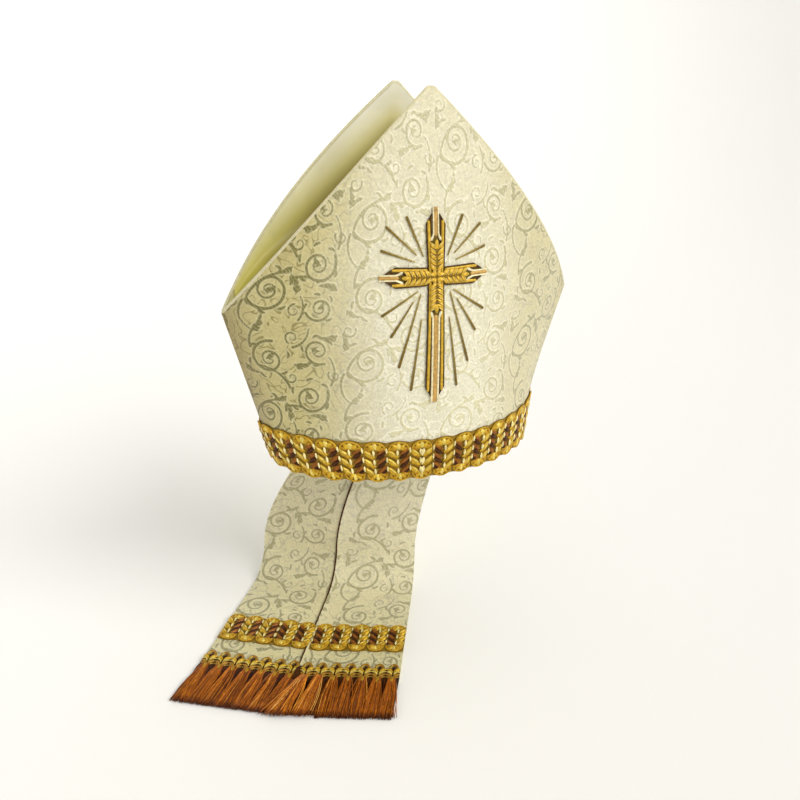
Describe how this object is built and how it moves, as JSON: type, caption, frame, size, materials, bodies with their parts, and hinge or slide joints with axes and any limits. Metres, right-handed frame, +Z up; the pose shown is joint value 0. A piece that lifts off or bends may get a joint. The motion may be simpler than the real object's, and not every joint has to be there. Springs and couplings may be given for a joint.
{
  "type": "bishop's mitre",
  "caption": "Tall bishop's mitre in cream brocade with gold galloon round the rim, an embroidered cross with rays, a satin lining and fringed lappets behind.",
  "frame": {"origin": "centre of the rim opening, level with the bottom of the galloon", "axes": "+Z up through the crown, the front with the cross faces -Y, +X to the right seen from the front"},
  "size_m": [0.3617, 0.2306, 0.465],
  "materials": {
    "brocade": "cream satin-ground brocade with woven scrolls, soft sheen",
    "lining_satin": "pale yellow-green satin",
    "galloon_braid": "gold metallic braid with brown strokes",
    "outline_embroidery": "dark brown satin stitch with gold ribs and cream cords",
    "gold_embroidery": "gold thread embroidery, raised",
    "fringe_rayon": "rust gold silky fringe with a looped gold heading"
  },
  "bodies": {
    "root": {"front_panel": "brocade", "back_panel": "brocade", "lappet_left": "brocade", "lappet_right": "brocade", "crown_lining": "lining_satin", "base_galloon": "galloon_braid", "lappet_galloon_left": "galloon_braid", "lappet_galloon_right": "galloon_braid", "cross_stem": "outline_embroidery", "cross_arm_left": "outline_embroidery", "cross_arm_right": "outline_embroidery", "ear_top": "gold_embroidery", "ear_foot": "gold_embroidery", "ear_left": "gold_embroidery", "ear_right": "gold_embroidery", "ray_01": "gold_embroidery", "ray_02": "gold_embroidery", "ray_03": "gold_embroidery", "ray_04": "gold_embroidery", "ray_05": "gold_embroidery", "ray_06": "gold_embroidery", "ray_07": "gold_embroidery", "ray_08": "gold_embroidery", "ray_09": "gold_embroidery", "ray_10": "gold_embroidery", "ray_11": "gold_embroidery", "ray_12": "gold_embroidery", "ray_13": "gold_embroidery", "ray_14": "gold_embroidery", "lappet_fringe_left": "fringe_rayon", "lappet_fringe_right": "fringe_rayon"}
  },
  "joints": []
}
